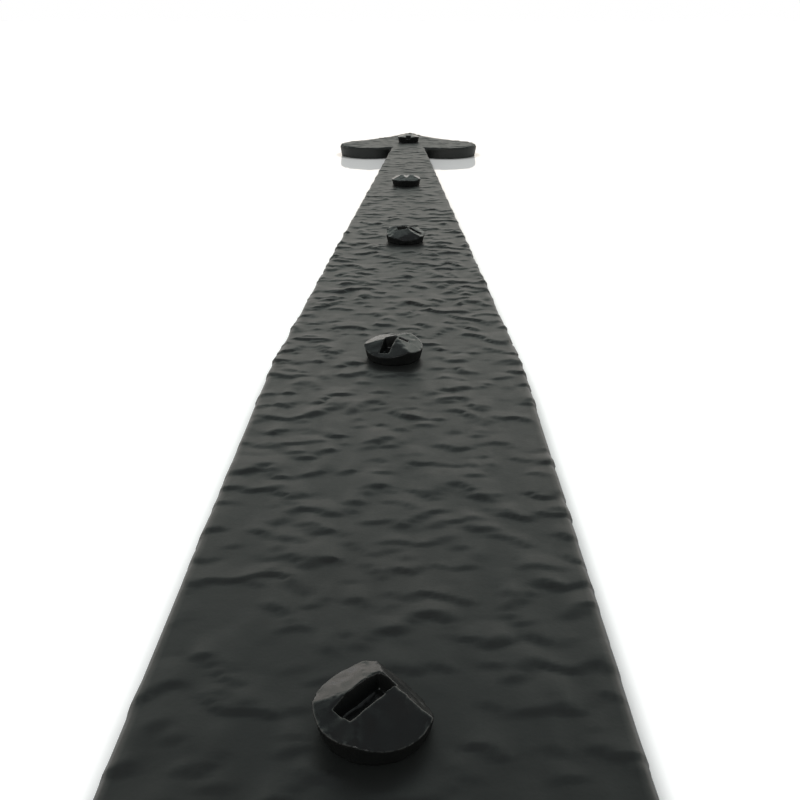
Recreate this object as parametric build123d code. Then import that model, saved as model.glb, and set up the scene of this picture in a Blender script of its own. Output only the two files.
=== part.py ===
from build123d import *
import os
from math import asin, cos, radians, sin, sqrt

# Hammered strap hinge for a gate or plank door, lying face up with both leaves in one plane.
# Frame, in millimetres: the origin is the middle of the jamb leaf's screw pattern, on the plane
# that both leaves are screwed to. +X runs along the hinge pin, +Y along the strap
# towards its tip, and +Z out of the door.

# Plate that both leaves are cut from
leaf_thickness = 5.6
edge_break = 0.4

# Strap leaf, with lengths taken from the pin axis
strap_length = 609.6
strap_width = 50.8
taper_start = 220.0
taper_blend_radius = 400.0
neck_width = 17.2
first_screw = 22.0
screw_pitch = 101.6
pitched_screws = 5

# Spade tip of the strap, with lengths taken back from its end
neck_from_end = 62.0
lobe_from_end = 51.5
lobe_spread = 20.9
lobe_radius = 16.9
flank_radius = 90.0
nose_radius = 2.8
tip_screw_from_end = 41.0

# Jamb leaf, with the near screw row taken from the pin axis
jamb_knuckle_width = 26.0
jamb_row_from_pin = 22.0
jamb_row_spacing = 25.4
jamb_column_margin = 15.2
jamb_edge_margin = 13.0
jamb_corner_radius = 9.0
notch_clearance = 1.2

# Pin, its running clearance in the rolled knuckles, and the seam where each roll ends
pin_diameter = 9.5
knuckle_clearance = 0.05
roll_seam = 0.5
pin_end_relief = 0.1
spigot_diameter = 6.0
spigot_length = 7.0

# Washers between the knuckles
washer_thickness = 1.6
washer_bore_clearance = 0.12
washer_inset = 0.4
washer_gap = 0.15

# Ball finials on the pin's ends
finial_flange_diameter = 17.6
finial_flange_thickness = 2.4
finial_neck_diameter = 11.0
finial_neck_length = 1.6
finial_ball_diameter = 15.2
finial_button_diameter = 5.0
finial_button_height = 1.4
spigot_clearance = 0.05
spigot_end_gap = 0.6

# Screws, with heights taken from the face of the leaf
head_base_diameter = 10.8
head_rim_diameter = 12.4
head_rim_height = 2.9
head_crown_diameter = 4.6
head_height = 4.7
shoulder_diameter = 6.8
hole_clearance = 0.2
shank_diameter = 6.2
plain_shank_length = 8.0
thread_root_diameter = 4.4
thread_pitch = 2.5
thread_turns = 8
point_length = 6.0

# Hammer flats round the crown of a head, and its cross recess
flat_count = 6
flat_tilt = 22.0
flat_tilt_swing = 5.0
flat_depth = 0.3
recess_span = 8.2
recess_wing = 2.2
recess_floor_share = 0.45
recess_depth = 2.8

# Each screw stops at its own angle, one of these turns further than the last
screw_turn_step = 137.5

# Places that the pieces share
pin_radius = pin_diameter / 2
knuckle_bore = pin_radius + knuckle_clearance
barrel_radius = knuckle_bore + leaf_thickness
pin_y = jamb_row_from_pin + jamb_row_spacing / 2
jamb_width = jamb_row_from_pin + jamb_row_spacing + jamb_edge_margin
knuckle_parting = washer_thickness + 2 * washer_gap
barrel_length = strap_width + 2 * (knuckle_parting + jamb_knuckle_width)
hole_radius = shoulder_diameter / 2 + hole_clearance


def rolled_knuckle(width):
    """A plate rolled round the pin axis, leaving towards +Y on the plane Z = 0, centred on X = 0."""
    seam_z = leaf_thickness + roll_seam
    outer_end = asin((seam_z - barrel_radius) / barrel_radius)
    inner_end = asin((seam_z - barrel_radius) / knuckle_bore)

    def on_roll(radius, angle):
        return (radius * cos(angle), barrel_radius + radius * sin(angle))

    def half_way(end):
        return (end - radians(450)) / 2

    outer_stop = on_roll(barrel_radius, outer_end)
    inner_stop = on_roll(knuckle_bore, inner_end)
    plate_end = 2 * barrel_radius
    with BuildSketch(Plane.YZ) as section:
        with BuildLine():
            ThreePointArc((0, 0), on_roll(barrel_radius, half_way(outer_end)), outer_stop)
            Line(outer_stop, inner_stop)
            ThreePointArc(inner_stop, on_roll(knuckle_bore, half_way(inner_end)), (0, leaf_thickness))
            Polyline((0, leaf_thickness), (plate_end, leaf_thickness), (plate_end, 0), (0, 0))
        make_face()
    return extrude(section.sketch, amount=width / 2, both=True)


def plate(outline, root_y):
    """The leaf's plate on its outline, with the edges of its face broken all but along the root."""
    slab = extrude(outline, amount=leaf_thickness)
    face_edges = slab.faces().sort_by(Axis.Z)[-1].edges()
    free_edges = face_edges.filter_by(lambda edge: abs(edge.center().Y - root_y) > edge_break)
    return chamfer(free_edges, edge_break)


def screw_holes(places):
    """Clearance holes through a leaf at the given places."""
    drill = Cylinder(hole_radius, 3 * leaf_thickness)
    return [Pos(x, y, 0) * drill for x, y in places]


def strap_places():
    """Screw places on the strap, from the knuckle to the tip, measured from the pin axis."""
    pitched = [first_screw + step * screw_pitch for step in range(pitched_screws)]
    return [(0, y) for y in pitched + [strap_length - tip_screw_from_end]]


def jamb_places():
    """Screw places on the jamb leaf, measured from the middle of their pattern."""
    column = barrel_length / 2 - jamb_column_margin
    columns = (-column, column)
    rows = (jamb_row_spacing / 2, -jamb_row_spacing / 2)
    return [(x, y) for y in rows for x in columns]


def flank_centre(lobe, nose):
    """Centre of the hollow flank that touches the lobe and the nose from outside."""
    from_lobe = lobe_radius + flank_radius
    from_nose = nose_radius + flank_radius
    span = (nose - lobe).length
    along = (nose - lobe) / span
    outwards = Vector(along.Y, -along.X)
    reach = (span**2 + from_lobe**2 - from_nose**2) / (2 * span)
    return lobe + along * reach + outwards * sqrt(from_lobe**2 - reach**2)


def spade():
    """The spade tip: two round lobes drawn out along hollow flanks to a small round nose."""
    lobe = Vector(lobe_spread, strap_length - lobe_from_end)
    nose = Vector(0, strap_length - nose_radius)
    flank = flank_centre(lobe, nose)

    def pair(centre, radius):
        return [Pos(side * centre.X, centre.Y) * Circle(radius) for side in (-1, 1)]

    right_side = [(point.X, point.Y) for point in (lobe, flank, nose)]
    left_side = [(-x, y) for x, y in reversed(right_side[:-1])]
    middle = Polygon(*right_side, *left_side, align=None) - pair(flank, flank_radius)
    return middle + pair(lobe, lobe_radius) + Pos(0, nose.Y) * Circle(nose_radius)


def strap_leaf():
    """The long tapered leaf with its spade tip and middle knuckle, with the pin axis over Y = 0."""
    half_width = strap_width / 2
    half_neck = neck_width / 2
    neck_y = strap_length - neck_from_end
    stem_end = strap_length - tip_screw_from_end
    right_side = [(half_width, 0), (half_width, taper_start), (half_neck, neck_y), (half_neck, stem_end)]
    left_side = [(-x, y) for x, y in reversed(right_side)]
    stem = Polygon(*right_side, *left_side, align=None)
    shoulders = stem.vertices().filter_by(lambda corner: corner.Y == taper_start)
    outline = fillet(shoulders, taper_blend_radius) + spade()
    leaf = plate(outline, 0) + rolled_knuckle(strap_width)
    return leaf - screw_holes(strap_places())


def jamb_leaf():
    """The short leaf for the door frame, with a knuckle on each side of the strap's knuckle."""
    knuckle_x = (barrel_length - jamb_knuckle_width) / 2
    notch_half = knuckle_x - jamb_knuckle_width / 2
    notch_depth = barrel_radius + notch_clearance
    blank = Pos(0, -jamb_width / 2) * Rectangle(barrel_length, jamb_width)
    outline = fillet(blank.vertices().group_by(Axis.Y)[0], jamb_corner_radius)
    outline -= Rectangle(2 * notch_half, 2 * notch_depth)
    leaf = plate(outline, 0)
    roll = mirror(rolled_knuckle(jamb_knuckle_width), Plane.XZ)
    leaf += [Pos(side * knuckle_x, 0, 0) * roll for side in (-1, 1)]
    return Pos(0, pin_y, 0) * leaf - screw_holes(jamb_places())


def hinge_pin():
    """The plain pin with a spigot at each end, along X on the pin axis."""
    pin = Cylinder(pin_radius, barrel_length - 2 * pin_end_relief)
    pin += Cylinder(spigot_diameter / 2, barrel_length + 2 * spigot_length)
    return on_pin_axis(pin)


def finial():
    """A ball finial standing on the plane Z = 0 with its blind spigot hole in the flange."""
    ball_radius = finial_ball_diameter / 2
    neck_radius = finial_neck_diameter / 2
    neck_top = finial_flange_thickness + finial_neck_length
    ball_z = neck_top + sqrt(ball_radius**2 - neck_radius**2)
    button_z = ball_z + ball_radius
    body = Cylinder(finial_flange_diameter / 2, finial_flange_thickness, align=STANDING)
    body = chamfer(body.edges(), edge_break)
    body += Cylinder(neck_radius, ball_z, align=STANDING)
    body += Pos(0, 0, ball_z) * Sphere(ball_radius)
    body += Cylinder(finial_button_diameter / 2, button_z + finial_button_height, align=STANDING)
    hole_depth = spigot_length + spigot_end_gap
    return body - Cylinder(spigot_diameter / 2 + spigot_clearance, hole_depth, align=STANDING)


def washer():
    """A flat ring for the pin, centred on the origin with its bore along Z."""
    ring = Cylinder(barrel_radius - washer_inset, washer_thickness)
    return ring - Cylinder(pin_radius + washer_bore_clearance, 2 * washer_thickness)


def on_pin_axis(turned, x=0.0, side=1):
    """Lay a piece that is turned about Z along the pin axis, facing +X or -X, at the given X."""
    return Pos(x, pin_y, barrel_radius) * Rot(0, side * 90, 0) * turned


def screw_head():
    """A hammered screw head with an undercut base, flats beaten on its crown and a cross recess."""
    crown = head_crown_diameter / 2
    rim = head_rim_diameter / 2
    with BuildSketch(Plane.XZ) as section:
        with BuildLine():
            Polyline(
                (0, 0),
                (head_base_diameter / 2, 0),
                (rim, head_rim_height),
                (crown, head_height),
                (0, head_height),
                (0, 0),
            )
        make_face()
    head = revolve(section.sketch, Axis.Z)
    for blow in range(flat_count):
        swing = flat_tilt_swing if blow % 2 else -flat_tilt_swing
        facing = Rot(0, 0, blow * 360 / flat_count) * Rot(0, flat_tilt + swing, 0)
        flat = Pos(0, 0, head_rim_height) * facing * Pos(0, 0, flat_height(flat_tilt + swing))
        head = split(head, Plane(flat), Keep.BOTTOM)
    return head - cross_recess()


def flat_height(tilt):
    """How far a flat of this tilt lies above the middle of the rim's plane."""
    crown_corner = head_crown_diameter / 2 * sin(radians(tilt))
    return crown_corner + (head_height - head_rim_height) * cos(radians(tilt)) - flat_depth


def cross_recess():
    """The tapering cross-shaped pit in the top of a head."""
    def cross(scale, z):
        span = recess_span * scale
        wing = recess_wing * scale
        return Pos(0, 0, z) * (Rectangle(span, wing) + Rectangle(wing, span))

    floor_z = head_height - recess_depth
    over_z = head_height + recess_depth
    over_scale = 2 - recess_floor_share
    return loft([cross(recess_floor_share, floor_z).face(), cross(over_scale, over_z).face()], ruled=True)


def screw_shank():
    """The shoulder that fills the leaf's hole, the plain shank under it, the thread and the point."""
    shoulder = shoulder_diameter / 2
    shank = shank_diameter / 2
    root = thread_root_diameter / 2
    thread_top = -leaf_thickness - plain_shank_length
    thread_end = thread_top - thread_turns * thread_pitch
    teeth = []
    for turn in range(thread_turns):
        z = thread_top - turn * thread_pitch
        teeth += [(root, z - thread_pitch / 2), (shank, z - thread_pitch)]
    with BuildSketch(Plane.XZ) as section:
        with BuildLine():
            Polyline(
                (0, 0),
                (shoulder, 0),
                (shoulder, -leaf_thickness),
                (shank, -leaf_thickness),
                (shank, thread_top),
                *teeth,
                (0, thread_end - point_length),
                (0, 0),
            )
        make_face()
    return revolve(section.sketch, Axis.Z)


STANDING = (Align.CENTER, Align.CENTER, Align.MIN)

screw = screw_head() + screw_shank()
finial_seat = barrel_length / 2
washer_seat = (strap_width + knuckle_parting) / 2

pieces = {
    "strap_leaf": Pos(0, pin_y, 0) * strap_leaf(),
    "jamb_leaf": jamb_leaf(),
    "hinge_pin": hinge_pin(),
    "left_finial": on_pin_axis(finial(), -finial_seat, -1),
    "right_finial": on_pin_axis(finial(), finial_seat, 1),
    "left_washer": on_pin_axis(washer(), -washer_seat),
    "right_washer": on_pin_axis(washer(), washer_seat),
}
screw_rows = {
    "strap_screw": [(x, y + pin_y) for x, y in strap_places()],
    "jamb_screw": jamb_places(),
}
for row, places in screw_rows.items():
    for number, (x, y) in enumerate(places, start=1):
        turned = Rot(0, 0, number * screw_turn_step) * screw
        pieces[f"{row}_{number}"] = Pos(x, y, leaf_thickness) * turned

os.makedirs("parts", exist_ok=True)
for node, piece in pieces.items():
    export_step(piece, f"parts/{node}.step")
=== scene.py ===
"""Hammered black strap hinge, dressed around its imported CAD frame.

The frame is the CAD's own: +X along the pin, +Y along the strap towards its spade tip and +Z out
of the door. The backs of both leaves lie on Z = 0. Lengths are in metres, apart from the forms
of the screw heads, which say that they are in millimetres.
"""
from __future__ import annotations

import logging
import math
from dataclasses import dataclass
from enum import Enum
from typing import Any, Callable, Mapping, Sequence

import bpy
import numpy as np
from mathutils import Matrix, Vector


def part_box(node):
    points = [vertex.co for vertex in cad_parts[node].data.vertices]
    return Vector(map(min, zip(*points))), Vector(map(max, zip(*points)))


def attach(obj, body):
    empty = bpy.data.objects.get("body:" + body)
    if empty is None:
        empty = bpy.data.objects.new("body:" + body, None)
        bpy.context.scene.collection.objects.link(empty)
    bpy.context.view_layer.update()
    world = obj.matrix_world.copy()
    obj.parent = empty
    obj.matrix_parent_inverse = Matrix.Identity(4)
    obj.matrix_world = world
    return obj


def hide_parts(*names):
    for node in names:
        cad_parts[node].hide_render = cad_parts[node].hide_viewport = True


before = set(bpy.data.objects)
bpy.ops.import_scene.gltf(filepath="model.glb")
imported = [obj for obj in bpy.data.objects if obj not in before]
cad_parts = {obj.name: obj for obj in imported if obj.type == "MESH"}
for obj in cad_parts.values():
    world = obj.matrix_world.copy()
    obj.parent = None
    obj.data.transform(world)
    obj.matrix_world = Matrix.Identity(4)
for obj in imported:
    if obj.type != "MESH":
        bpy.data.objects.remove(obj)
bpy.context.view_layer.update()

MM = 0.001
MERGE_DISTANCE = 1e-6
NOISE_MEAN = 0.5
DOWNWARDS = -0.999
log = logging.getLogger("strap_hinge")

Span = tuple[float, float]
Triple = tuple[float, float, float]
Places = list[tuple[float, float]]


class Body(Enum):
    """The two bodies that turn against each other on the pin."""

    JAMB = "jamb"
    STRAP = "strap"


class Slot(Enum):
    """The record's material slots, one for each kind of new piece."""

    LEAF = "hammered_leaf"
    SCREWS = "screws"
    PIN = "pin_and_finials"


# Node trees


class Wire:
    """One output of a node, with arithmetic that adds the Math nodes it needs."""

    def __init__(self, graph: Graph, node: bpy.types.Node, socket: Any) -> None:
        """Keep where this wire starts.

        Args:
            graph: The graph that the node is in.
            node: The node.
            socket: The node's output.
        """
        self.graph = graph
        self.node = node
        self.socket = socket

    def out(self, name: str) -> Wire:
        """The wire from another output of the same node."""
        return Wire(self.graph, self.node, self.node.outputs[name])

    def __add__(self, other: Value) -> Wire:
        """This wire plus a value or wire."""
        return self.graph.math("ADD", self, other)

    def __radd__(self, other: Value) -> Wire:
        """A value plus this wire."""
        return self.graph.math("ADD", other, self)

    def __sub__(self, other: Value) -> Wire:
        """This wire less a value or wire."""
        return self.graph.math("SUBTRACT", self, other)

    def __rsub__(self, other: Value) -> Wire:
        """A value less this wire."""
        return self.graph.math("SUBTRACT", other, self)

    def __mul__(self, other: Value) -> Wire:
        """This wire times a value or wire."""
        return self.graph.math("MULTIPLY", self, other)

    def __rmul__(self, other: Value) -> Wire:
        """A value times this wire."""
        return self.graph.math("MULTIPLY", other, self)


Value = Wire | float | Sequence[float]


class Graph:
    """A shader or geometry node tree that is written as expressions."""

    def __init__(self, tree: bpy.types.NodeTree) -> None:
        """Keep the tree that the nodes go into."""
        self.tree = tree

    @classmethod
    def of_material(cls, name: str) -> tuple[bpy.types.Material, Graph]:
        """Start a material with an empty tree.

        Args:
            name: The material's name.

        Returns:
            The material and the graph of its tree.
        """
        material = bpy.data.materials.new(name)
        material.use_nodes = True
        material.node_tree.nodes.clear()
        return material, cls(material.node_tree)

    def add(
        self,
        kind: str,
        settings: Mapping[str, Any] | None = None,
        sockets: Mapping[str | int, Value] | None = None,
    ) -> Wire:
        """Add one node.

        Args:
            kind: Blender's name for the node's type.
            settings: Properties of the node, and "stops" for a ramp, which are set first.
            sockets: Values or wires of the node's inputs, by name or number.

        Returns:
            The wire from the node's first output that is in use.
        """
        node = self.tree.nodes.new(kind)
        for name, value in (settings or {}).items():
            if name == "stops":
                self._set_stops(node.color_ramp, value)
            else:
                setattr(node, name, value)
        for key, value in (sockets or {}).items():
            socket = self._input(node, key)
            if isinstance(value, Wire):
                self.tree.links.new(value.socket, socket)
            else:
                socket.default_value = value
        shown = [socket for socket in node.outputs if socket.enabled]
        return Wire(self, node, shown[0] if shown else None)

    @staticmethod
    def _input(node: bpy.types.Node, key: str | int) -> Any:
        """Find one of a node's inputs.

        Args:
            node: The node.
            key: The input's number, or its name among those in use.

        Returns:
            The input.
        """
        if isinstance(key, int):
            return node.inputs[key]
        return next(socket for socket in node.inputs if socket.enabled and socket.name == key)

    @staticmethod
    def _set_stops(ramp: bpy.types.ColorRamp, stops: Sequence[tuple[float, Triple]]) -> None:
        """Give a ramp its stops.

        Args:
            ramp: The ramp, as Blender makes it.
            stops: Place and colour of each stop.
        """
        while len(ramp.elements) < len(stops):
            ramp.elements.new(1.0)
        for element, (place, colour) in zip(ramp.elements, stops):
            element.position = place
            element.color = (*colour, 1.0)

    def math(self, operation: str, a: Value, b: Value) -> Wire:
        """Join two values or wires by a Math node, or by a Vector Math node where one is a vector.

        Args:
            operation: Blender's name for what the node does.
            a: The first value or wire.
            b: The second value or wire.

        Returns:
            The wire from the node.
        """
        wires = [x for x in (a, b) if isinstance(x, Wire)]
        flat = all(wire.socket.type in ("VALUE", "INT", "BOOLEAN") for wire in wires)
        kind = "ShaderNodeMath" if flat else "ShaderNodeVectorMath"
        if not flat:
            a, b = (x if isinstance(x, (Wire, tuple)) else (x, x, x) for x in (a, b))
        return self.add(kind, {"operation": operation}, {0: a, 1: b})

    def dot(self, a: Value, b: Value) -> Wire:
        """The dot product of two vectors."""
        return self.add("ShaderNodeVectorMath", {"operation": "DOT_PRODUCT"}, {0: a, 1: b}).out("Value")

    def noise(self, place: Wire, size: float, detail: float) -> Wire:
        """Noise with lumps of about this size, from 0 to 1."""
        sockets = {"Vector": place, "Scale": 1 / size, "Detail": detail}
        return self.add("ShaderNodeTexNoise", {"noise_dimensions": "3D"}, sockets)

    def ease(self, value: Wire, low: float, high: float) -> Wire:
        """Ease a value from 0 at low to 1 at high."""
        sockets = {"Value": value, "From Min": low, "From Max": high}
        return self.add("ShaderNodeMapRange", {"interpolation_type": "SMOOTHSTEP"}, sockets)

    def tint(self, share: Wire, first: Value, second: Value) -> Wire:
        """Mix two colours by a share."""
        sockets = {"Factor": share, "A": first, "B": second}
        return self.add("ShaderNodeMix", {"data_type": "RGBA"}, sockets)


# Finishes


@dataclass(frozen=True)
class PowderCoat:
    """Black powder coat of low sheen, with the fine peel and faint warm patches that it cures to."""

    name: str
    colour: Triple = (0.0100, 0.0112, 0.0108)
    patch_colour: Triple = (0.0135, 0.0132, 0.0124)
    patch_size: float = 38 * MM
    patch_detail: float = 4.0
    patch_edge: Span = (0.46, 0.72)
    peel_size: float = 1.9 * MM
    peel_detail: float = 2.0
    peel_height: float = 0.05 * MM
    grain_size: float = 0.42 * MM
    grain_detail: float = 1.0
    relief_shares: Span = (0.7, 0.3)
    relief_strength: float = 0.5
    roughness: float = 0.43
    roughness_swing: float = 0.16
    roughness_shares: Span = (0.6, 0.4)
    specular_level: float = 0.50
    # Painted shade: share of a dull coat of low specular mixed onto steep flanks, darkening them.
    flank_shade: float = 0.0
    dull_roughness: float = 0.7
    dull_specular_level: float = 0.12
    flank_edge: Span = (0.35, 0.85)

    def material(self) -> bpy.types.Material:
        """Make the coat's material.

        Returns:
            The material, patterned on Object coordinates.
        """
        material, graph = Graph.of_material(self.name)
        place = graph.add("ShaderNodeTexCoord").out("Object")
        patches = graph.ease(graph.noise(place, self.patch_size, self.patch_detail), *self.patch_edge)
        peel = graph.noise(place, self.peel_size, self.peel_detail)
        grain = graph.noise(place, self.grain_size, self.grain_detail)
        colour = graph.tint(patches, (*self.colour, 1.0), (*self.patch_colour, 1.0))
        peel_share, grain_share = self.roughness_shares
        unevenness = peel_share * peel + grain_share * grain - NOISE_MEAN
        roughness = self.roughness + unevenness * self.roughness_swing
        peel_share, grain_share = self.relief_shares
        relief = graph.add(
            "ShaderNodeBump",
            None,
            {
                "Strength": self.relief_strength,
                "Distance": self.peel_height,
                "Height": peel_share * peel + grain_share * grain,
            },
        )
        surface = graph.add(
            "ShaderNodeBsdfPrincipled",
            None,
            {
                "Base Color": colour,
                "Roughness": roughness,
                "Specular IOR Level": self.specular_level,
                "Normal": relief,
            },
        )
        if self.flank_shade:
            surface = self._shade_flanks(graph, surface, colour)
        graph.add("ShaderNodeOutputMaterial", None, {"Surface": surface})
        return material

    def _shade_flanks(self, graph: Graph, surface: Wire, colour: Wire) -> Wire:
        """Paint shade on steep flanks: mix in a dull coat of low specular there, so that they read darker.

        Args:
            graph: The graph of the coat's material.
            surface: The coat away from the steep flanks.
            colour: The coat's colour.

        Returns:
            The coat with painted shade on its steep flanks.
        """
        # Painted shade: the steeper the face, the more of the dull coat, so that flanks read darker.
        facing = graph.dot(graph.add("ShaderNodeTexCoord").out("Normal"), (0.0, 0.0, 1.0))
        level = graph.ease(graph.math("ABSOLUTE", facing, 0.0), *self.flank_edge)
        dull = graph.add(
            "ShaderNodeBsdfPrincipled",
            None,
            {
                "Base Color": colour,
                "Roughness": self.dull_roughness,
                "Specular IOR Level": self.dull_specular_level,
            },
        )
        share = (1.0 - level) * self.flank_shade
        return graph.add("ShaderNodeMixShader", None, {0: share, 1: surface, 2: dull})


@dataclass(frozen=True)
class BlackOxide:
    """Blackened steel with turning rings round the pin axis and blotches that are rubbed brighter."""

    name: str
    colour: Triple = (0.055, 0.055, 0.058)
    rubbed_colour: Triple = (0.16, 0.155, 0.15)
    rubbed_edge: Span = (0.55, 0.75)
    blotch_size: float = 3 * MM
    blotch_detail: float = 3.0
    roughness: float = 0.34
    roughness_swing: float = 0.2
    ring_pitch: float = 0.25 * MM
    ring_height: float = 0.02 * MM
    relief_strength: float = 0.4

    def material(self, axis_y: float, axis_z: float) -> bpy.types.Material:
        """Make the steel's material.

        Args:
            axis_y: Y of the axis that the piece was turned about.
            axis_z: Z of that axis.

        Returns:
            The material, patterned on Object coordinates.
        """
        material, graph = Graph.of_material(self.name)
        place = graph.add("ShaderNodeTexCoord").out("Object")
        from_axis = (place - (0.0, axis_y, axis_z)) * (0.0, 1.0, 1.0)
        radius = graph.add("ShaderNodeVectorMath", {"operation": "LENGTH"}, {0: from_axis}).out("Value")
        angle = radius * (2 * math.pi / self.ring_pitch)
        rings = graph.add("ShaderNodeMath", {"operation": "SINE"}, {0: angle})
        blotches = graph.noise(place, self.blotch_size, self.blotch_detail)
        rubbed = graph.ease(blotches, *self.rubbed_edge)
        relief = graph.add(
            "ShaderNodeBump",
            None,
            {"Strength": self.relief_strength, "Distance": self.ring_height, "Height": rings},
        )
        surface = graph.add(
            "ShaderNodeBsdfPrincipled",
            None,
            {
                "Base Color": graph.tint(rubbed, (*self.colour, 1.0), (*self.rubbed_colour, 1.0)),
                "Roughness": self.roughness + self.roughness_swing * (blotches - NOISE_MEAN),
                "Metallic": 1.0,
                "Normal": relief,
            },
        )
        graph.add("ShaderNodeOutputMaterial", None, {"Surface": surface})
        return material


# Bench tools


class Bench:
    """Modelling steps that the pieces share, each a few of Blender's operators."""

    @staticmethod
    def take(piece: bpy.types.Object) -> None:
        """Select one piece alone and make it active.

        Args:
            piece: The piece.
        """
        bpy.ops.object.select_all(action="DESELECT")
        piece.select_set(True)
        bpy.context.view_layer.objects.active = piece

    @staticmethod
    def copy_of_node(node: str, name: str) -> bpy.types.Object:
        """Copy a CAD node's mesh and merge its loose triangles.

        Args:
            node: Name of the CAD node.
            name: Name of the new piece.

        Returns:
            The new piece, with no material.
        """
        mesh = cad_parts[node].data.copy()
        mesh.name = name
        mesh.materials.clear()
        piece = bpy.data.objects.new(name, mesh)
        bpy.context.scene.collection.objects.link(piece)
        Bench.take(piece)
        bpy.ops.object.mode_set(mode="EDIT")
        bpy.ops.mesh.select_all(action="SELECT")
        bpy.ops.mesh.remove_doubles(threshold=MERGE_DISTANCE)
        bpy.ops.object.mode_set(mode="OBJECT")
        return piece

    @staticmethod
    def block(centre: Sequence[float], sizes: Sequence[float]) -> bpy.types.Object:
        """Add a block to cut with.

        Args:
            centre: The block's middle.
            sizes: Its lengths along X, Y and Z.

        Returns:
            The block, with its sizes in its mesh.
        """
        bpy.ops.object.select_all(action="DESELECT")
        bpy.ops.mesh.primitive_cube_add(size=1, location=centre)
        block = bpy.context.active_object
        bpy.ops.transform.resize(value=sizes)
        bpy.ops.object.transform_apply(location=False, rotation=False, scale=True)
        return block

    @staticmethod
    def modify(piece: bpy.types.Object, kind: str, **settings: Any) -> None:
        """Add a modifier and apply it.

        Args:
            piece: The piece.
            kind: Blender's name for the modifier's type.
            settings: The modifier's settings.
        """
        Bench.take(piece)
        modifier = piece.modifiers.new(kind.lower(), kind)
        for name, value in settings.items():
            setattr(modifier, name, value)
        bpy.ops.object.modifier_apply(modifier=modifier.name)

    @staticmethod
    def cut(piece: bpy.types.Object, cutter: bpy.types.Object, operation: str = "DIFFERENCE") -> None:
        """Cut a piece with another, or add that to it, and throw the other away."""
        Bench.modify(piece, "BOOLEAN", operation=operation, solver="MANIFOLD", object=cutter)
        bpy.data.objects.remove(cutter)

    @staticmethod
    def remesh(piece: bpy.types.Object, sizes: Sequence[float]) -> None:
        """Rebuild a piece's surface as an even grid.

        Args:
            piece: The piece, a closed solid.
            sizes: Spacing of the grid along X, Y and Z.
        """
        voxel = min(sizes)
        Bench.take(piece)
        piece.scale = [voxel / size for size in sizes]
        bpy.ops.object.transform_apply(location=False, rotation=False, scale=True)
        Bench.modify(piece, "REMESH", mode="VOXEL", voxel_size=voxel, use_smooth_shade=True)
        piece.scale = [size / voxel for size in sizes]
        bpy.ops.object.transform_apply(location=False, rotation=False, scale=True)

    @staticmethod
    def select_faces(
        piece: bpy.types.Object, wanted: Callable[[np.ndarray, np.ndarray], np.ndarray]
    ) -> None:
        """Enter edit mode with some faces selected.

        Args:
            piece: The piece.
            wanted: Picks the faces by their centres and normals.
        """
        Bench.take(piece)
        polygons = piece.data.polygons
        centres = np.empty(len(polygons) * 3)
        normals = np.empty(len(polygons) * 3)
        polygons.foreach_get("center", centres)
        polygons.foreach_get("normal", normals)
        bpy.ops.object.mode_set(mode="EDIT")
        bpy.ops.mesh.select_mode(type="FACE")
        bpy.ops.mesh.select_all(action="DESELECT")
        bpy.ops.object.mode_set(mode="OBJECT")
        polygons.foreach_set("select", wanted(centres.reshape(-1, 3), normals.reshape(-1, 3)))
        bpy.ops.object.mode_set(mode="EDIT")

    @staticmethod
    def corners(piece: bpy.types.Object) -> np.ndarray:
        """Read the places of a piece's corners.

        Args:
            piece: The piece.

        Returns:
            The places, one row each.
        """
        places = np.empty(len(piece.data.vertices) * 3)
        piece.data.vertices.foreach_get("co", places)
        return places.reshape(-1, 3)

    @staticmethod
    def put_in_order(piece: bpy.types.Object) -> None:
        """List a piece's corners and faces by place, because extruding leaves them in any order.

        Args:
            piece: The piece, before it is smoothed or dressed.
        """
        mesh = piece.data
        corners = [tuple(vertex.co) for vertex in mesh.vertices]
        order = sorted(range(len(corners)), key=corners.__getitem__)
        numbers = {old: new for new, old in enumerate(order)}
        faces = []
        for polygon in mesh.polygons:
            ring = [numbers[corner] for corner in polygon.vertices]
            first = ring.index(min(ring))
            faces.append(ring[first:] + ring[:first])
        mesh.clear_geometry()
        mesh.from_pydata([corners[old] for old in order], [], sorted(faces))

    @staticmethod
    def turn(name: str, rings: Sequence[Span], segments: int) -> bpy.types.Object:
        """Turn a solid about Z.

        Args:
            name: Name of the new piece.
            rings: Radius and height of each ring, from one end to the other.
            segments: Sides of each ring.

        Returns:
            The closed piece, with its ends filled.
        """
        (radius, height), *rest = rings
        bpy.ops.object.select_all(action="DESELECT")
        bpy.ops.mesh.primitive_circle_add(
            vertices=segments, radius=radius, fill_type="NGON", location=(0, 0, height)
        )
        piece = bpy.context.active_object
        piece.name = name
        bpy.ops.object.transform_apply(location=True)
        bpy.ops.object.mode_set(mode="EDIT")
        bpy.ops.mesh.select_all(action="SELECT")
        for next_radius, next_height in rest:
            rise = (0, 0, next_height - height)
            bpy.ops.mesh.extrude_region_move(TRANSFORM_OT_translate={"value": rise})
            share = next_radius / radius
            bpy.ops.transform.resize(value=(share, share, 1), center_override=(0, 0, next_height))
            radius, height = next_radius, next_height
        bpy.ops.mesh.select_all(action="SELECT")
        bpy.ops.mesh.normals_make_consistent(inside=False)
        bpy.ops.object.mode_set(mode="OBJECT")
        Bench.put_in_order(piece)
        return piece

    @staticmethod
    def settle(piece: bpy.types.Object, rotation: Sequence[float], place: Sequence[float]) -> None:
        """Turn a piece that was made at the origin, move it into place and keep both in its mesh.

        Args:
            piece: The piece.
            rotation: Its turns about X, Y and Z.
            place: Where its origin goes.
        """
        Bench.take(piece)
        piece.rotation_euler = rotation
        piece.location = place
        bpy.ops.object.transform_apply(location=True, rotation=True, scale=True)

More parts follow.
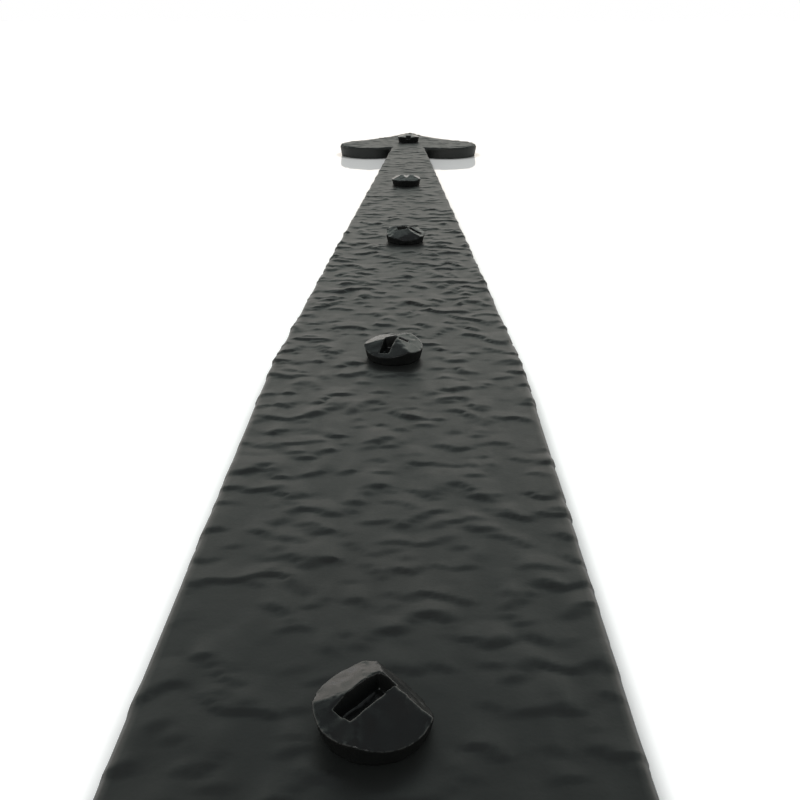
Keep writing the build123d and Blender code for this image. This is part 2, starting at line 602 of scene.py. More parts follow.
    @staticmethod
    def hand_over(
        piece: bpy.types.Object, body: Body, slot: Slot, finish: bpy.types.Material, node: str
    ) -> None:
        """Dress a piece, put it on its body and let it stand for its CAD node.

        Args:
            piece: The piece.
            body: The body that it rides on.
            slot: The material slot of the piece; not used.
            finish: Its material.
            node: The CAD node that it replaces.
        """
        piece.data.materials.clear()
        piece.data.materials.append(finish)
        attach(piece, body.value)
        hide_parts(node)
        log.info("%s: %d faces for %s, on body %s", piece.name, len(piece.data.polygons), node, body.value)


def eased(values: np.ndarray, low: float, high: float) -> np.ndarray:
    """Ease numbers from 0 at low to 1 at high."""
    share = np.clip((values - low) / (high - low), 0.0, 1.0)
    return share * share * (3 - 2 * share)


# Hammer marks


@dataclass(frozen=True)
class Ripples:
    """One run of hammer steps: steep rises along +Y that wander and die out, with long falls between."""

    pitch: float
    height: float
    rise: float
    wander: float
    wander_size: float
    patch_size: float
    patch_edge: Span
    shift: Triple = (0.0, 0.0, 0.0)
    wander_stretch: Triple = (1.0, 0.55, 1.0)
    patch_parting: float = 1.7
    detail: float = 2.0

    def add_to(self, graph: Graph, place: Wire) -> Wire:
        """Add the nodes of this run.

        Args:
            graph: The tree to add to.
            place: Place of each corner.

        Returns:
            The height of the steps there.
        """
        spot = place + self.shift
        drift = graph.noise(spot * self.wander_stretch, self.wander_size, self.detail) - NOISE_MEAN
        phase = graph.dot(spot, (0.0, 1 / self.pitch, 0.0)) + drift * (2 * self.wander)
        share = graph.math("FRACT", phase, 0.0)
        tooth = graph.ease(share, 0.0, self.rise) * (1.0 - share)
        across = graph.dot(spot, (1.0, 0.0, 0.0))
        own_row = (phase - share) * (self.patch_parting * self.patch_size)
        own_place = graph.add("ShaderNodeCombineXYZ", None, {"X": across, "Y": own_row})
        patch = graph.ease(graph.noise(own_place, self.patch_size, self.detail), *self.patch_edge)
        return tooth * patch * self.height


@dataclass(frozen=True)
class HammerBlows:
    """Marks of a hammer on a surface: runs of steps, and low swells between them."""

    name: str
    runs: tuple[Ripples, ...]
    swell_size: float = 14.0 * MM
    swell_height: float = 0.10 * MM
    swell_detail: float = 1.0
    weight_name: str = "struck"
    spread_name: str = "spread"

    def strike(self, piece: bpy.types.Object, weights: np.ndarray, spread: np.ndarray) -> None:
        """Beat the marks into a piece's faces and drive its edges outwards.

        Args:
            piece: The piece, with corners close enough together to take the marks.
            weights: How far each corner takes part, where 1 is in full.
            spread: How far each corner's edge is driven outwards.
        """
        for name, values in ((self.weight_name, weights), (self.spread_name, spread)):
            attribute = piece.data.attributes.new(name, "FLOAT", "POINT")
            attribute.data.foreach_set("value", values.astype(np.float32))
        Bench.modify(piece, "NODES", node_group=self._tree())
        for name in (self.weight_name, self.spread_name):
            piece.data.attributes.remove(piece.data.attributes[name])

    def _tree(self) -> bpy.types.NodeTree:
        """Make the geometry nodes that move each corner, or find them where they are made.

        Returns:
            The node tree.
        """
        made = bpy.data.node_groups.get(self.name)
        if made:
            return made
        tree = bpy.data.node_groups.new(self.name, "GeometryNodeTree")
        for way in ("INPUT", "OUTPUT"):
            tree.interface.new_socket("Geometry", in_out=way, socket_type="NodeSocketGeometry")
        graph = Graph(tree)
        start = graph.add("NodeGroupInput")
        place = graph.add("GeometryNodeInputPosition")
        weight, spread = (
            graph.add("GeometryNodeInputNamedAttribute", {"data_type": "FLOAT"}, {"Name": name})
            for name in (self.weight_name, self.spread_name)
        )
        swell = graph.noise(place, self.swell_size, self.swell_detail) - NOISE_MEAN
        height = swell * (2 * self.swell_height)
        for run in self.runs:
            height = height + run.add_to(graph, place)
        normal = graph.add("GeometryNodeInputNormal")
        move = normal * (height * weight) + normal * (1.0, 1.0, 0.0) * spread
        moved = graph.add("GeometryNodeSetPosition", None, {"Geometry": start, "Offset": move})
        graph.add("NodeGroupOutput", None, {"Geometry": moved})
        return tree


LEAF_BLOWS = HammerBlows(
    "hammer_blows",
    (
        Ripples(
            pitch=6.4 * MM,
            height=0.46 * MM,
            rise=0.12,
            wander=1.7,
            wander_size=9.0 * MM,
            patch_size=7.5 * MM,
            patch_edge=(0.455, 0.565),
        ),
        Ripples(
            pitch=4.8 * MM,
            height=0.32 * MM,
            rise=0.14,
            wander=1.4,
            wander_size=6.5 * MM,
            patch_size=4.5 * MM,
            patch_edge=(0.475, 0.595),
            shift=(0.31, 0.17, 0.0),
        ),
    ),
)
HEAD_DENTS = HammerBlows(
    "head_dents",
    (
        Ripples(
            pitch=1.9 * MM,
            height=0.12 * MM,
            rise=0.28,
            wander=1.2,
            wander_size=2.4 * MM,
            patch_size=1.9 * MM,
            patch_edge=(0.42, 0.64),
        ),
    ),
    swell_size=1.7 * MM,
    swell_height=0.11 * MM,
)


# Leaves


@dataclass(frozen=True)
class Fade:
    """A stretch along Y that the marks grow weaker over, and the share that is left at its weak end."""

    start: float
    end: float
    left: float

    def passed(self, y: np.ndarray) -> np.ndarray:
        """How far along the stretch each place lies, from 0 to 1."""
        return eased(y, self.start, self.end)


@dataclass
class Leaf:
    """A leaf of plate with its rolled knuckle, remeshed from the CAD solid and beaten all over its face.

    The fades give where the hammer marks are weakest and where they are whole: under the face, above the
    back, from a screw's axis, outside the bore and from a knuckle's end. The marks are calm towards the
    tip and worn towards the pin. The spread starts past the pin and rises above the back.
    """

    node: str
    name: str
    body: Body
    screw_places: Places
    axis_y: float
    axis_z: float
    knuckle_ends: tuple[float, ...]
    thickness: float = 5.6 * MM
    bore_radius: float = 4.85 * MM
    bore_sides: int = 96
    seam: float = 0.5 * MM
    seam_reach: float = 12 * MM
    knuckle_reach: float = 11.5 * MM
    cut_spare: float = 2 * MM
    mesh_sizes: Triple = (0.95 * MM, 0.46 * MM, 0.80 * MM)
    smooth_angle: float = 65.0
    back_skin: float = 0.4 * MM
    back_tolerance: float = 0.01 * MM
    slab_depth: float = 4 * MM
    face_fade: Span = (0.9 * MM, 0.1 * MM)
    back_fade: Span = (0.6 * MM, 2.6 * MM)
    seat_fade: Span = (5.9 * MM, 9.5 * MM)
    bore_fade: Span = (0.4 * MM, 3.0 * MM)
    end_fade: Span = (0.3 * MM, 1.5 * MM)
    wall_share: float = 0.5
    calm: Fade | None = None
    worn: Fade | None = None
    edge_spread: float = 0.0
    spread_start: Span = (35 * MM, 55 * MM)
    spread_rise: Span = (1.5 * MM, 4.5 * MM)

    def build(self, finish: bpy.types.Material) -> None:
        """Model and dress the leaf.

        Args:
            finish: Its coat.
        """
        piece = Bench.copy_of_node(self.node, self.name)
        Bench.remesh(piece, self.mesh_sizes)
        places = Bench.corners(piece)
        LEAF_BLOWS.strike(piece, self._weights(places), self._spread(places))
        self._ream(piece)
        self._flatten_back(piece)
        Bench.take(piece)
        bpy.ops.object.shade_smooth_by_angle(angle=math.radians(self.smooth_angle))
        Bench.hand_over(piece, self.body, Slot.LEAF, finish, self.node)

    def _weights(self, places: np.ndarray) -> np.ndarray:
        """How far each corner takes the hammer: not at all on the back, in the bore and at the seats.

        Args:
            places: The corners' places, one row each.

        Returns:
            A weight from 0 to 1 for each corner.
        """
        x, y, z = places.T
        calmed = self.calm.passed(y) if self.calm else np.zeros(len(y))
        wall_share = self.wall_share * (1 - calmed)
        on_face = eased(z, *(self.thickness - depth for depth in self.face_fade))
        weights = eased(z, *self.back_fade) * (wall_share + (1 - wall_share) * on_face)
        for screw_x, screw_y in self.screw_places:
            weights *= eased(np.hypot(x - screw_x, y - screw_y), *self.seat_fade)
        from_axis = np.hypot(y - self.axis_y, z - self.axis_z)
        weights *= eased(from_axis, *(self.bore_radius + depth for depth in self.bore_fade))
        at_knuckle = np.abs(y - self.axis_y) < self.knuckle_reach
        for end in self.knuckle_ends:
            from_end = np.abs(np.abs(x) - end)
            weights[at_knuckle] *= eased(from_end, *self.end_fade)[at_knuckle]
        if self.calm:
            weights *= 1 - (1 - self.calm.left) * calmed
        if self.worn:
            weights *= 1 - (1 - self.worn.left) * (1 - self.worn.passed(y))
        return weights

    def _spread(self, places: np.ndarray) -> np.ndarray:
        """How far the hammer drives the plate's edges outwards at each corner."""
        clear_of_knuckle = eased(places[:, 1] - self.axis_y, *self.spread_start)
        return self.edge_spread * clear_of_knuckle * eased(places[:, 2], *self.spread_rise)

    def _ream(self, piece: bpy.types.Object) -> None:
        """Ream the bore to its size and open the seam where the roll meets the plate.

        Args:
            piece: The leaf.
        """
        low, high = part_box(self.node)
        length = high.x - low.x + self.cut_spare
        bpy.ops.object.select_all(action="DESELECT")
        bpy.ops.mesh.primitive_cylinder_add(
            vertices=self.bore_sides,
            radius=self.bore_radius,
            depth=length,
            location=(0, self.axis_y, self.axis_z),
            rotation=(0, math.pi / 2, 0),
        )
        Bench.cut(piece, bpy.context.active_object)
        side = 1 if self.body is Body.STRAP else -1
        middle = (0, self.axis_y + side * self.seam_reach / 2, self.thickness + self.seam / 2)
        Bench.cut(piece, Bench.block(middle, (length, self.seam_reach, self.seam)))

    def _flatten_back(self, piece: bpy.types.Object) -> None:
        """Cut off the remeshed back and draw the clean cut down to the plane of the door.

        Args:
            piece: The leaf.
        """
        low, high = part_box(self.node)
        middle = (low + high) / 2
        depth = self.slab_depth
        slab_middle = (middle.x, middle.y, self.back_skin - depth / 2)
        slab_sizes = (high.x - low.x + depth, high.y - low.y + depth, depth)
        Bench.cut(piece, Bench.block(slab_middle, slab_sizes))
        edge = self.back_skin + self.back_tolerance
        Bench.select_faces(
            piece, lambda centres, normals: (centres[:, 2] < edge) & (normals[:, 2] < DOWNWARDS)
        )
        bpy.ops.mesh.extrude_region_move(TRANSFORM_OT_translate={"value": (0, 0, -self.back_skin)})
        bpy.ops.object.mode_set(mode="OBJECT")
        Bench.put_in_order(piece)


# Screws


@dataclass(frozen=True)
class Flat:
    """One flat beaten on a head: heading and tilt in degrees, and height on the axis in millimetres."""

    heading: float
    tilt: float
    height: float


@dataclass(frozen=True)
class Pit:
    """One dent of a head's recess, in millimetres and degrees, and its floor's share of the width."""

    x: float
    y: float
    length: float
    width: float
    turn: float
    floor: float = 1.8
    floor_share: float = 0.62


@dataclass(frozen=True)
class Head:
    """How one screw's head came out.

    It has its flats, the dents of its recess, how far it sits off its shank in millimetres, and how strongly
    it is dented, where 1 is as most heads are.
    """

    flats: tuple[Flat, ...]
    pits: tuple[Pit, ...]
    off_shank: Span = (0.0, 0.0)
    dented: float = 1.0


SEEN_HEADS = {
    "strap_screw_2": Head(
        (
            Flat(140, 20, 4.5),
            Flat(95, 16, 4.35),
            Flat(217, 17, 4.4),
            Flat(-45, 17, 3.8),
            Flat(35, 45, 6.0),
        ),
        (Pit(-0.9, 0.2, 7.4, 3.3, -131, floor=1.5),),
        off_shank=(-0.4, 0.3),
    ),
    "strap_screw_3": Head(
        (
            Flat(157, 15, 4.3),
            Flat(100, 15, 4.6),
            Flat(238, 20, 3.95),
            Flat(-11, 17.5, 4.2),
            Flat(-70, 9, 3.95),
        ),
        (Pit(-1.3, -1.5, 6.2, 2.9, -105, floor=1.5), Pit(2.0, 0.5, 2.2, 0.9, -15, floor=2.4)),
        off_shank=(-0.7, 0.0),
    ),
    "strap_screw_4": Head(
        (
            Flat(-105, 16, 3.6),
            Flat(220, 20, 4.3),
            Flat(-20, 17, 4.0),
            Flat(-80, 26, 4.3),
            Flat(90, 25, 5.4),
        ),
        (Pit(-1.0, 1.4, 3.4, 2.2, 10, floor=2.0), Pit(3.0, 0.6, 5.2, 1.9, -38, floor=1.4)),
        off_shank=(0.7, 0.0),
        dented=1.8,
    ),
    "strap_screw_5": Head(
        (
            Flat(180, 23, 4.9),
            Flat(0, 21, 4.9),
            Flat(90, 15, 4.2),
            Flat(-125, 17, 4.2),
            Flat(-55, 17, 4.2),
        ),
        (Pit(0.1, 0.0, 14.0, 7.9, 90, floor=3.3, floor_share=0.02),),
    ),
    "strap_screw_6": Head(
        (
            Flat(180, 12, 4.2),
            Flat(90, 8, 4.0),
            Flat(0, 12, 4.2),
            Flat(-90, 7, 3.8),
        ),
        (Pit(0.0, -4.2, 5.0, 3.8, 90, floor=2.1),),
    ),
}


@dataclass
class Screws:
    """The ten wood screws with hammered heads, each head beaten in its own way.

    Heights are taken from the face of the leaf, which lies at seat_z. The plain heads' values are in degrees
    and millimetres, as those of the seen heads are.
    """

    seat_z: float = 5.6 * MM
    base_radius: float = 5.5 * MM
    base_edge: Span = (0.3 * MM, 0.2 * MM)
    rim_radius: float = 6.2 * MM
    rim_height: float = 2.9 * MM
    blank_height: float = 5.4 * MM
    blank_draft: float = 0.1 * MM
    blank_sides: int = 48
    seat_depth: float = 0.15 * MM
    pit_length_share: float = 0.82
    mesh_size: float = 0.14 * MM
    wear_factor: float = 0.5
    wear_rounds: int = 8
    kept_share: float = 0.45
    smooth_angle: float = 38.0
    plain_seed: int = 40
    plain_flats: int = 6
    plain_heading_swing: float = 14.0
    plain_tilt: Span = (12.0, 20.0)
    plain_height: Span = (4.1, 4.6)
    cross_length: float = 8.6
    cross_width: float = 2.2
    shoulder_radius: float = 3.4 * MM
    shoulder_edge: float = 0.2 * MM
    shoulder_rise: float = 1.0 * MM
    shank_radius: float = 3.1 * MM
    shank_sides: int = 32
    root_radius: float = 2.2 * MM
    plain_length: float = 8.0 * MM
    thread_pitch: float = 2.5 * MM
    thread_turns: int = 8
    thread_run_in: float = 0.6 * MM
    point_length: float = 6.0 * MM
    point_radius: float = 0.15 * MM
    point_turns: int = 2
    point_least_share: float = 0.02
    ridge_width: float = 1.3 * MM
    ridge_sink: float = 0.25 * MM
    ridge_steps: int = 24

    def build(self, rows: Mapping[str, tuple[Body, Places]], finish: bpy.types.Material) -> None:
        """Model and dress every screw.

        Args:
            rows: Body and screw places of each row, by the row's name.
            finish: The coat of the screws.
        """
        shank = self._shank()
        number = 0
        for row, (body, places) in rows.items():
            for position, (x, y) in enumerate(places, start=1):
                number += 1
                node = f"{row}_{position}"
                form = SEEN_HEADS.get(node) or self._plain_head(number)
                screw = self._head(f"{node}_struck", form)
                corner_count = len(screw.data.vertices)
                HEAD_DENTS.strike(screw, np.full(corner_count, form.dented), np.zeros(corner_count))
                own_shank = shank.copy()
                own_shank.data = shank.data.copy()
                bpy.context.scene.collection.objects.link(own_shank)
                Bench.cut(screw, own_shank, "UNION")
                Bench.settle(screw, (0, 0, 0), (x, y, self.seat_z))
                bpy.ops.object.shade_smooth_by_angle(angle=math.radians(self.smooth_angle))
                Bench.hand_over(screw, body, Slot.SCREWS, finish, node)
        bpy.data.objects.remove(shank)

    def _plain_head(self, number: int) -> Head:
        """Form the head of a screw that the photograph doesn't show, beaten in its own way.

        Args:
            number: The screw's number, which sets its draws.

        Returns:
            A head with flats all round and a cross recess.
        """
        draws = np.random.default_rng(self.plain_seed + number)
        swing = self.plain_heading_swing
        step = 360.0 / self.plain_flats
        headings = [step * side + draws.uniform(-swing, swing) for side in range(self.plain_flats)]
        flats = tuple(
            Flat(heading, draws.uniform(*self.plain_tilt), draws.uniform(*self.plain_height))
            for heading in headings
        )
        turn = draws.uniform(0, 90)
        wings = (Pit(0, 0, self.cross_length, self.cross_width, turn + across) for across in (0, 90))
        return Head(flats, tuple(wings))

    def _head(self, name: str, head: Head) -> bpy.types.Object:
        """Model a head on its seat at the origin: a flared blank, beaten flats, its recess and worn edges.

        Args:
            name: Name of the new piece.
            head: The head's form.

        Returns:
            The head, without its shank.
        """
        edge_in, edge_up = self.base_edge
        rings = [
            (self.base_radius - edge_in, -self.seat_depth),
            (self.base_radius, edge_up),
            (self.rim_radius, self.rim_height),
            (self.rim_radius - self.blank_draft, self.blank_height),
        ]
        piece = Bench.turn(name, rings, self.blank_sides)
        bpy.ops.object.mode_set(mode="EDIT")
        for flat in head.flats:
            heading, tilt = math.radians(flat.heading), math.radians(flat.tilt)
            lean = math.sin(tilt)
            facing = (lean * math.cos(heading), lean * math.sin(heading), math.cos(tilt))
            bpy.ops.mesh.select_all(action="SELECT")
            bpy.ops.mesh.bisect(
                plane_co=(0, 0, flat.height * MM), plane_no=facing, use_fill=True, clear_outer=True
            )
        bpy.ops.object.mode_set(mode="OBJECT")
        for pit in head.pits:
            Bench.cut(piece, self._pit_cutter(pit))
        Bench.remesh(piece, [self.mesh_size] * 3)
        Bench.modify(piece, "SMOOTH", factor=self.wear_factor, iterations=self.wear_rounds)
        Bench.modify(piece, "DECIMATE", ratio=self.kept_share)
        Bench.settle(piece, (0, 0, 0), (*(off * MM for off in head.off_shank), 0))
        return piece

    def _pit_cutter(self, pit: Pit) -> bpy.types.Object:
        """Model the cutter of one dent of the recess, drawn in towards its floor.

        Args:
            pit: The dent.

        Returns:
            The cutter, in its place on a head at the origin.
        """
        depth = self.blank_height - pit.floor * MM
        cutter = Bench.block((0, 0, 0), (pit.length * MM, pit.width * MM, depth))
        Bench.select_faces(cutter, lambda centres, normals: normals[:, 2] < DOWNWARDS)
        bpy.ops.transform.resize(value=(self.pit_length_share, pit.floor_share, 1))
        bpy.ops.object.mode_set(mode="OBJECT")
        place = (pit.x * MM, pit.y * MM, pit.floor * MM + depth / 2)
        Bench.settle(cutter, (0, 0, math.radians(pit.turn)), place)
        return cutter

    def _shank(self) -> bpy.types.Object:
        """Model the shoulder in the leaf's hole, the plain shank, the threaded core and its point.

        Returns:
            The shank under a head at the origin.
        """
        thread_top = -self.seat_z - self.plain_length
        thread_end = thread_top - self.thread_turns * self.thread_pitch
        tip = thread_end - self.point_length
        rings = [
            (self.point_radius, tip),
            (self.root_radius, thread_end),
            (self.root_radius, thread_top - self.thread_run_in),
            (self.shank_radius, thread_top),
            (self.shank_radius, -self.seat_z),
            (self.shoulder_radius, -self.seat_z + self.shoulder_edge),
            (self.shoulder_radius, self.shoulder_rise),
        ]
        shank = Bench.turn("screw_shank", rings, self.shank_sides)
        Bench.cut(shank, self._ridge(thread_top, thread_end, tip), "UNION")
        return shank

    def _ridge(self, thread_top: float, thread_end: float, tip: float) -> bpy.types.Object:
        """Model the thread's ridge: a small triangle wound down the core and drawn in along the point.

        Args:
            thread_top: Height where the thread starts.
            thread_end: Height where the core ends and the point starts.
            tip: Height of the point's end.

        Returns:
            The closed ridge.
        """
        bpy.ops.object.select_all(action="DESELECT")
        bpy.ops.mesh.primitive_circle_add(vertices=3, radius=self.root_radius)
        ridge = bpy.context.active_object
        inner = self.root_radius - self.ridge_sink
        half = self.ridge_width / 2
        section = [(inner, 0, -half), (self.shank_radius, 0, 0), (inner, 0, half)]
        for vertex, corner in zip(ridge.data.vertices, section):
            vertex.co = Vector(corner) + Vector((0, 0, thread_top))
        Bench.modify(
            ridge,
            "SCREW",
            axis="Z",
            angle=2 * math.pi,
            iterations=self.thread_turns + self.point_turns,
            screw_offset=-self.thread_pitch,
            steps=self.ridge_steps,
            render_steps=self.ridge_steps,
        )
        places = Bench.corners(ridge)
        share = np.clip((places[:, 2] - tip) / (thread_end - tip), self.point_least_share, 1.0)
        places[:, :2] *= share[:, None]
        ridge.data.vertices.foreach_set("co", places.ravel())
        bpy.ops.object.mode_set(mode="EDIT")
        bpy.ops.mesh.select_all(action="SELECT")
        bpy.ops.mesh.fill_holes(sides=0)
        bpy.ops.mesh.select_all(action="SELECT")
        bpy.ops.mesh.normals_make_consistent(inside=False)
        bpy.ops.object.mode_set(mode="OBJECT")
        return ridge


# Pin


@dataclass
class PinSet:
    """The pin, its washers and the ball finials on its ends.

    The neck's steps go outwards from its radius and up from the flange. The button's steps are shares of its
    radius and drops from its top.
    """

    axis_y: float
    axis_z: float
    seat_x: float
    flange_radius: float = 8.8 * MM
    flange_thickness: float = 2.4 * MM
    flange_edge: float = 0.5 * MM
    neck_radius: float = 5.5 * MM
    neck_length: float = 1.6 * MM
    neck_steps: tuple[Span, ...] = ((0.5 * MM, 0.1 * MM), (0.0, 0.6 * MM))
    ball_radius: float = 7.6 * MM
    ball_rings: int = 18
    button_radius: float = 2.5 * MM
    button_height: float = 1.4 * MM
    button_steps: tuple[Span, ...] = ((1.0, 0.9 * MM), (0.85, 0.35 * MM), (0.5, 0.05 * MM), (0.1, 0.0))
    hole_radius: float = 3.05 * MM
    hole_depth: float = 7.6 * MM
    drill_spare: float = 1.0 * MM
    finial_sides: int = 56
    hole_sides: int = 32
    smooth_angle: float = 35.0

    def build(self, coat: bpy.types.Material, steel: bpy.types.Material) -> None:
        """Model the finials and dress the pin and washers.

        Args:
            coat: The coat of the pin and finials.
            steel: The finish of the washers.
        """
        for node, side in (("left_finial", -1), ("right_finial", 1)):
            piece = self._finial(f"{node}_turned")
            place = (side * self.seat_x, self.axis_y, self.axis_z)
            Bench.settle(piece, (0, side * math.pi / 2, 0), place)
            bpy.ops.object.shade_smooth_by_angle(angle=math.radians(self.smooth_angle))
            Bench.hand_over(piece, Body.JAMB, Slot.PIN, coat, node)
        for node, finish in (("hinge_pin", coat), ("left_washer", steel), ("right_washer", steel)):
            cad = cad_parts[node]
            cad.data.materials.clear()
            cad.data.materials.append(finish)
            log.info("%s: CAD node kept, with %s", node, finish.name)

    def _finial(self, name: str) -> bpy.types.Object:
        """Model a finial standing on Z = 0: flange, neck, ball and button, with a blind hole for the spigot.

        Args:
            name: Name of the new piece.

        Returns:
            The finial, with its axis along Z.
        """
        edge = self.flange_edge
        neck_top = self.flange_thickness + self.neck_length
        ball_z = neck_top + math.sqrt(self.ball_radius**2 - self.neck_radius**2)
        start = math.asin((neck_top - ball_z) / self.ball_radius)
        stop = math.acos(self.button_radius / self.ball_radius)
        angles = np.linspace(start, stop, self.ball_rings)
        top = ball_z + self.ball_radius + self.button_height
        rings = [
            (self.flange_radius - edge, 0.0),
            (self.flange_radius, edge),
            (self.flange_radius, self.flange_thickness - edge),
            (self.flange_radius - edge, self.flange_thickness),
        ]
        rings += [(self.neck_radius + out, self.flange_thickness + up) for out, up in self.neck_steps]
        rings += [(self.ball_radius * math.cos(a), ball_z + self.ball_radius * math.sin(a)) for a in angles]
        rings += [(share * self.button_radius, top - drop) for share, drop in self.button_steps]
        piece = Bench.turn(name, rings, self.finial_sides)
        hole = [(self.hole_radius, -self.drill_spare), (self.hole_radius, self.hole_depth)]
        Bench.cut(piece, Bench.turn("drill", hole, self.hole_sides))
        return piece


# Studio


@dataclass(frozen=True)
class Lamp:
    """A square lamp that faces the hinge, with its size in metres and its power in watts."""

    name: str
    place: Triple
    size: float
    power: float


@dataclass
class Studio:
    """A glossy white board, the soft light over it and the camera low over the strap.

    Angles are in degrees, and the focal length is in pixels of the photograph. The wall's stops give its
    light from the horizon, at 0, to straight overhead, at 1.
    """

    camera_place: Triple = (0.0031, 0.0939, 0.0695)
    camera_dip: float = 23.96
    camera_yaw: float = 0.888
    sensor_width: float = 36.0
    focal_pixels: float = 855.0
    image_pixels: float = 800.0
    nearest_view: float = 5 * MM
    board_size: float = 160.0
    board_z: float = -0.15 * MM
    board_colour: Triple = (0.80, 0.80, 0.80)
    board_lift: float = 0.72
    edge_lift: float = -0.12
    gloss_ior: float = 1.45
    gloss_gain: float = 1.25
    gloss_limit: float = 0.75
    gloss_roughness: float = 0.03
    shade_reach: float = 4.0 * MM
    shade_samples: int = 12
    wall_stops: tuple[tuple[float, Triple], ...] = (
        (0.00, (1.16, 1.16, 1.16)),
        (0.03, (1.13, 1.13, 1.11)),
        (0.14, (1.22, 1.12, 1.02)),
        (0.30, (0.98, 1.00, 0.93)),
        (0.47, (0.71, 0.81, 0.75)),
        (0.59, (0.48, 0.55, 0.53)),
        (0.71, (0.25, 0.29, 0.29)),
        (0.87, (0.20, 0.21, 0.22)),
        (1.00, (0.22, 0.22, 0.22)),
    )
    front_share: float = 0.92
    front_edge: Span = (-0.25, 0.30)
    lamps: tuple[Lamp, ...] = (
        Lamp("front_lamp", (-0.45, -0.95, 1.60), 0.9, 7.0),
        Lamp("left_lamp", (-1.30, 0.10, 0.50), 1.0, 0.8),
        Lamp("right_lamp", (1.30, 0.10, 0.50), 1.0, 0.8),
    )
    lamp_target: Triple = (0.0, 0.30, 0.0)

    def build(self) -> None:
        """Set up the board, the light and the camera."""
        self._board()
        self._world()
        self._lamps()
        self._camera()

    def _board(self) -> None:
        """Lay a white board with a clear gloss, which keeps the hinge's shadow and its reflection, and a
        painted contact shadow in its glow.
        """
        bpy.ops.object.select_all(action="DESELECT")
        bpy.ops.mesh.primitive_plane_add(size=self.board_size, location=(0, 0, self.board_z))
        board = bpy.context.active_object
        board.name = "white_board"
        bpy.ops.object.transform_apply(location=True)
        material, graph = Graph.of_material("white_board")
        path = graph.add("ShaderNodeLightPath")
        seen = graph.math("MAXIMUM", path.out("Is Camera Ray"), path.out("Is Glossy Ray"))
        seen = graph.math("MAXIMUM", seen, path.out("Is Transmission Ray"))
        matte = graph.add("ShaderNodeBsdfDiffuse", None, {"Color": (*self.board_colour, 1.0)})
        fresnel = graph.add("ShaderNodeFresnel", None, {"IOR": self.gloss_ior})
        share = graph.math("MINIMUM", self.gloss_gain * fresnel, self.gloss_limit)
        # Painted contact shadow: ambient occlusion darkens the board's glow near the hinge.
        occlusion = graph.add(
            "ShaderNodeAmbientOcclusion", {"samples": self.shade_samples}, {"Distance": self.shade_reach}
        )
        shade = occlusion.out("AO")
        shade = shade * shade
        lift = seen * shade * shade * (self.board_lift + self.edge_lift * share)
        glow = graph.add("ShaderNodeEmission", None, {"Color": lift, "Strength": 1.0})
        paint = graph.add("ShaderNodeAddShader", None, {0: matte, 1: glow})
        gloss = graph.add(
            "ShaderNodeBsdfGlossy", None, {"Color": (1.0, 1.0, 1.0, 1.0), "Roughness": self.gloss_roughness}
        )
        surface = graph.add("ShaderNodeMixShader", None, {0: share, 1: paint, 2: gloss})
        graph.add("ShaderNodeOutputMaterial", None, {"Surface": surface})
        board.data.materials.append(material)

    def _world(self) -> None:
        """Set plain white for the camera, and light for the object: bright low down and dim overhead."""
        world = bpy.data.worlds.new("studio")
        bpy.context.scene.world = world
        world.use_nodes = True
        world.node_tree.nodes.clear()
        graph = Graph(world.node_tree)
        path = graph.add("ShaderNodeLightPath")
        heading = graph.add("ShaderNodeTexCoord").out("Generated")
        behind = graph.ease(graph.dot(heading, (0.0, 1.0, 0.0)), *self.front_edge)
        height = graph.dot(heading, (0.0, 0.0, 1.0))
        wall = graph.add("ShaderNodeValToRGB", {"stops": self.wall_stops}, {0: height})
        light = wall * (self.front_share + (1.0 - self.front_share) * behind)
        colour = graph.tint(path.out("Is Camera Ray"), light, (1.0, 1.0, 1.0, 1.0))
        glow = graph.add("ShaderNodeBackground", None, {"Color": colour})
        graph.add("ShaderNodeOutputWorld", None, {"Surface": glow})

    def _lamps(self) -> None:
        """Hang a broad lamp high behind the pin and a weak one on each side, all aimed at the strap."""
        target = Vector(self.lamp_target)
        for lamp in self.lamps:
            light = bpy.data.lights.new(lamp.name, "AREA")
            light.size = lamp.size
            light.energy = lamp.power
            holder = bpy.data.objects.new(lamp.name, light)
            holder.location = lamp.place
            holder.rotation_euler = (target - Vector(lamp.place)).to_track_quat("-Z", "Y").to_euler()
            bpy.context.scene.collection.objects.link(holder)

    def _camera(self) -> None:
        """Hold the camera just over the strap, looking along it and down."""
        lens = bpy.data.cameras.new("camera")
        lens.sensor_width = self.sensor_width
        lens.lens = self.sensor_width * self.focal_pixels / self.image_pixels
        lens.clip_start = self.nearest_view
        camera = bpy.data.objects.new("camera", lens)
        camera.location = self.camera_place
        camera.rotation_euler = (math.radians(90 - self.camera_dip), 0.0, math.radians(self.camera_yaw))
        bpy.context.scene.collection.objects.link(camera)
        bpy.context.scene.camera = camera


# The whole hinge


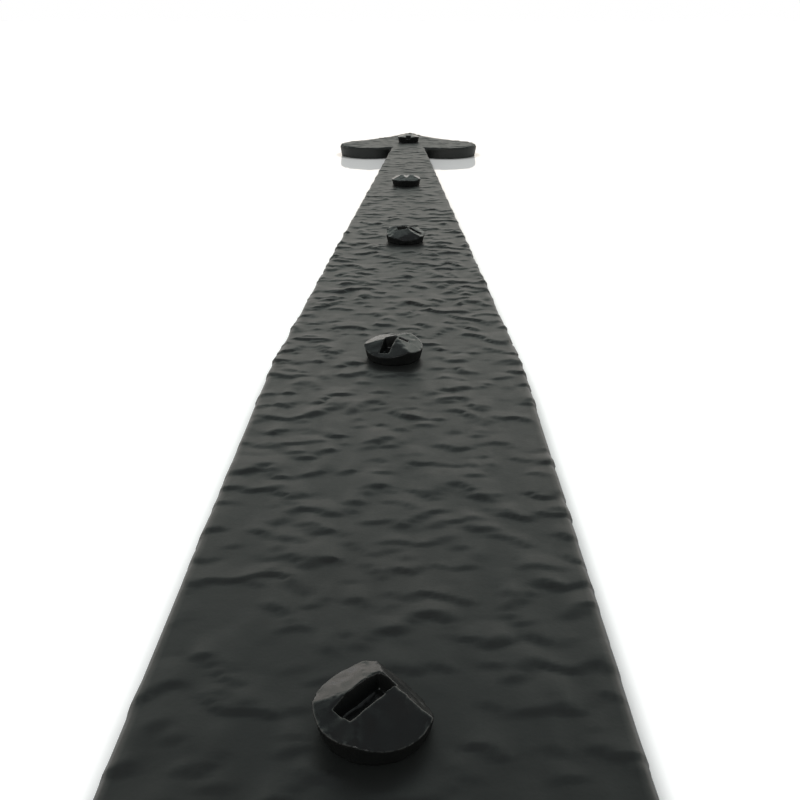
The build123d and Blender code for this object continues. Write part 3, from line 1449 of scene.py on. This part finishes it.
def screw_places(row: str, count: int) -> Places:
    """Places of a row's screws on its leaf, from their CAD nodes."""
    boxes = [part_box(f"{row}_{number}") for number in range(1, count + 1)]
    return [((low.x + high.x) / 2, (low.y + high.y) / 2) for low, high in boxes]


def main() -> None:
    """Build the hinge's pieces and the studio in order."""
    logging.basicConfig(level=logging.INFO, format="%(name)s: %(message)s")
    bpy.context.scene.view_settings.view_transform = "Standard"
    pin_low, pin_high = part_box("hinge_pin")
    axis_y = (pin_low.y + pin_high.y) / 2
    axis_z = (pin_low.z + pin_high.z) / 2
    # The leaves' coat paints shade on their steep flanks.
    leaf_coat = PowderCoat("black_powder_coat", flank_shade=0.6).material()
    strap = Leaf(
        "strap_leaf",
        "strap_leaf_hammered",
        Body.STRAP,
        screw_places("strap_screw", count=6),
        axis_y,
        axis_z,
        knuckle_ends=(25.4 * MM,),
        calm=Fade(start=0.370, end=0.425, left=0.65),
        worn=Fade(start=0.150, end=0.330, left=0.60),
        edge_spread=0.45 * MM,
    )
    strap.build(leaf_coat)
    jamb = Leaf(
        "jamb_leaf",
        "jamb_leaf_hammered",
        Body.JAMB,
        screw_places("jamb_screw", count=4),
        axis_y,
        axis_z,
        knuckle_ends=(27.3 * MM, 53.3 * MM),
    )
    jamb.build(leaf_coat)
    rows = {
        "strap_screw": (Body.STRAP, strap.screw_places),
        "jamb_screw": (Body.JAMB, jamb.screw_places),
    }
    # The screws' coat paints stronger shade on their steep flanks.
    screw_coat = PowderCoat(
        "black_screw_coat",
        colour=(0.0050, 0.0055, 0.0055),
        patch_colour=(0.0065, 0.0065, 0.0062),
        patch_size=4 * MM,
        peel_height=0.02 * MM,
        roughness=0.24,
        roughness_swing=0.10,
        flank_shade=0.9,
    )
    Screws().build(rows, screw_coat.material())
    steel = BlackOxide("black_oxide_steel").material(axis_y, axis_z)
    pin_coat = PowderCoat("black_pin_coat", roughness=0.30, roughness_swing=0.12).material()
    barrel_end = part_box("jamb_leaf")[1].x
    PinSet(axis_y, axis_z, barrel_end).build(pin_coat, steel)
    Studio().build()


if __name__ == "__main__":
    main()
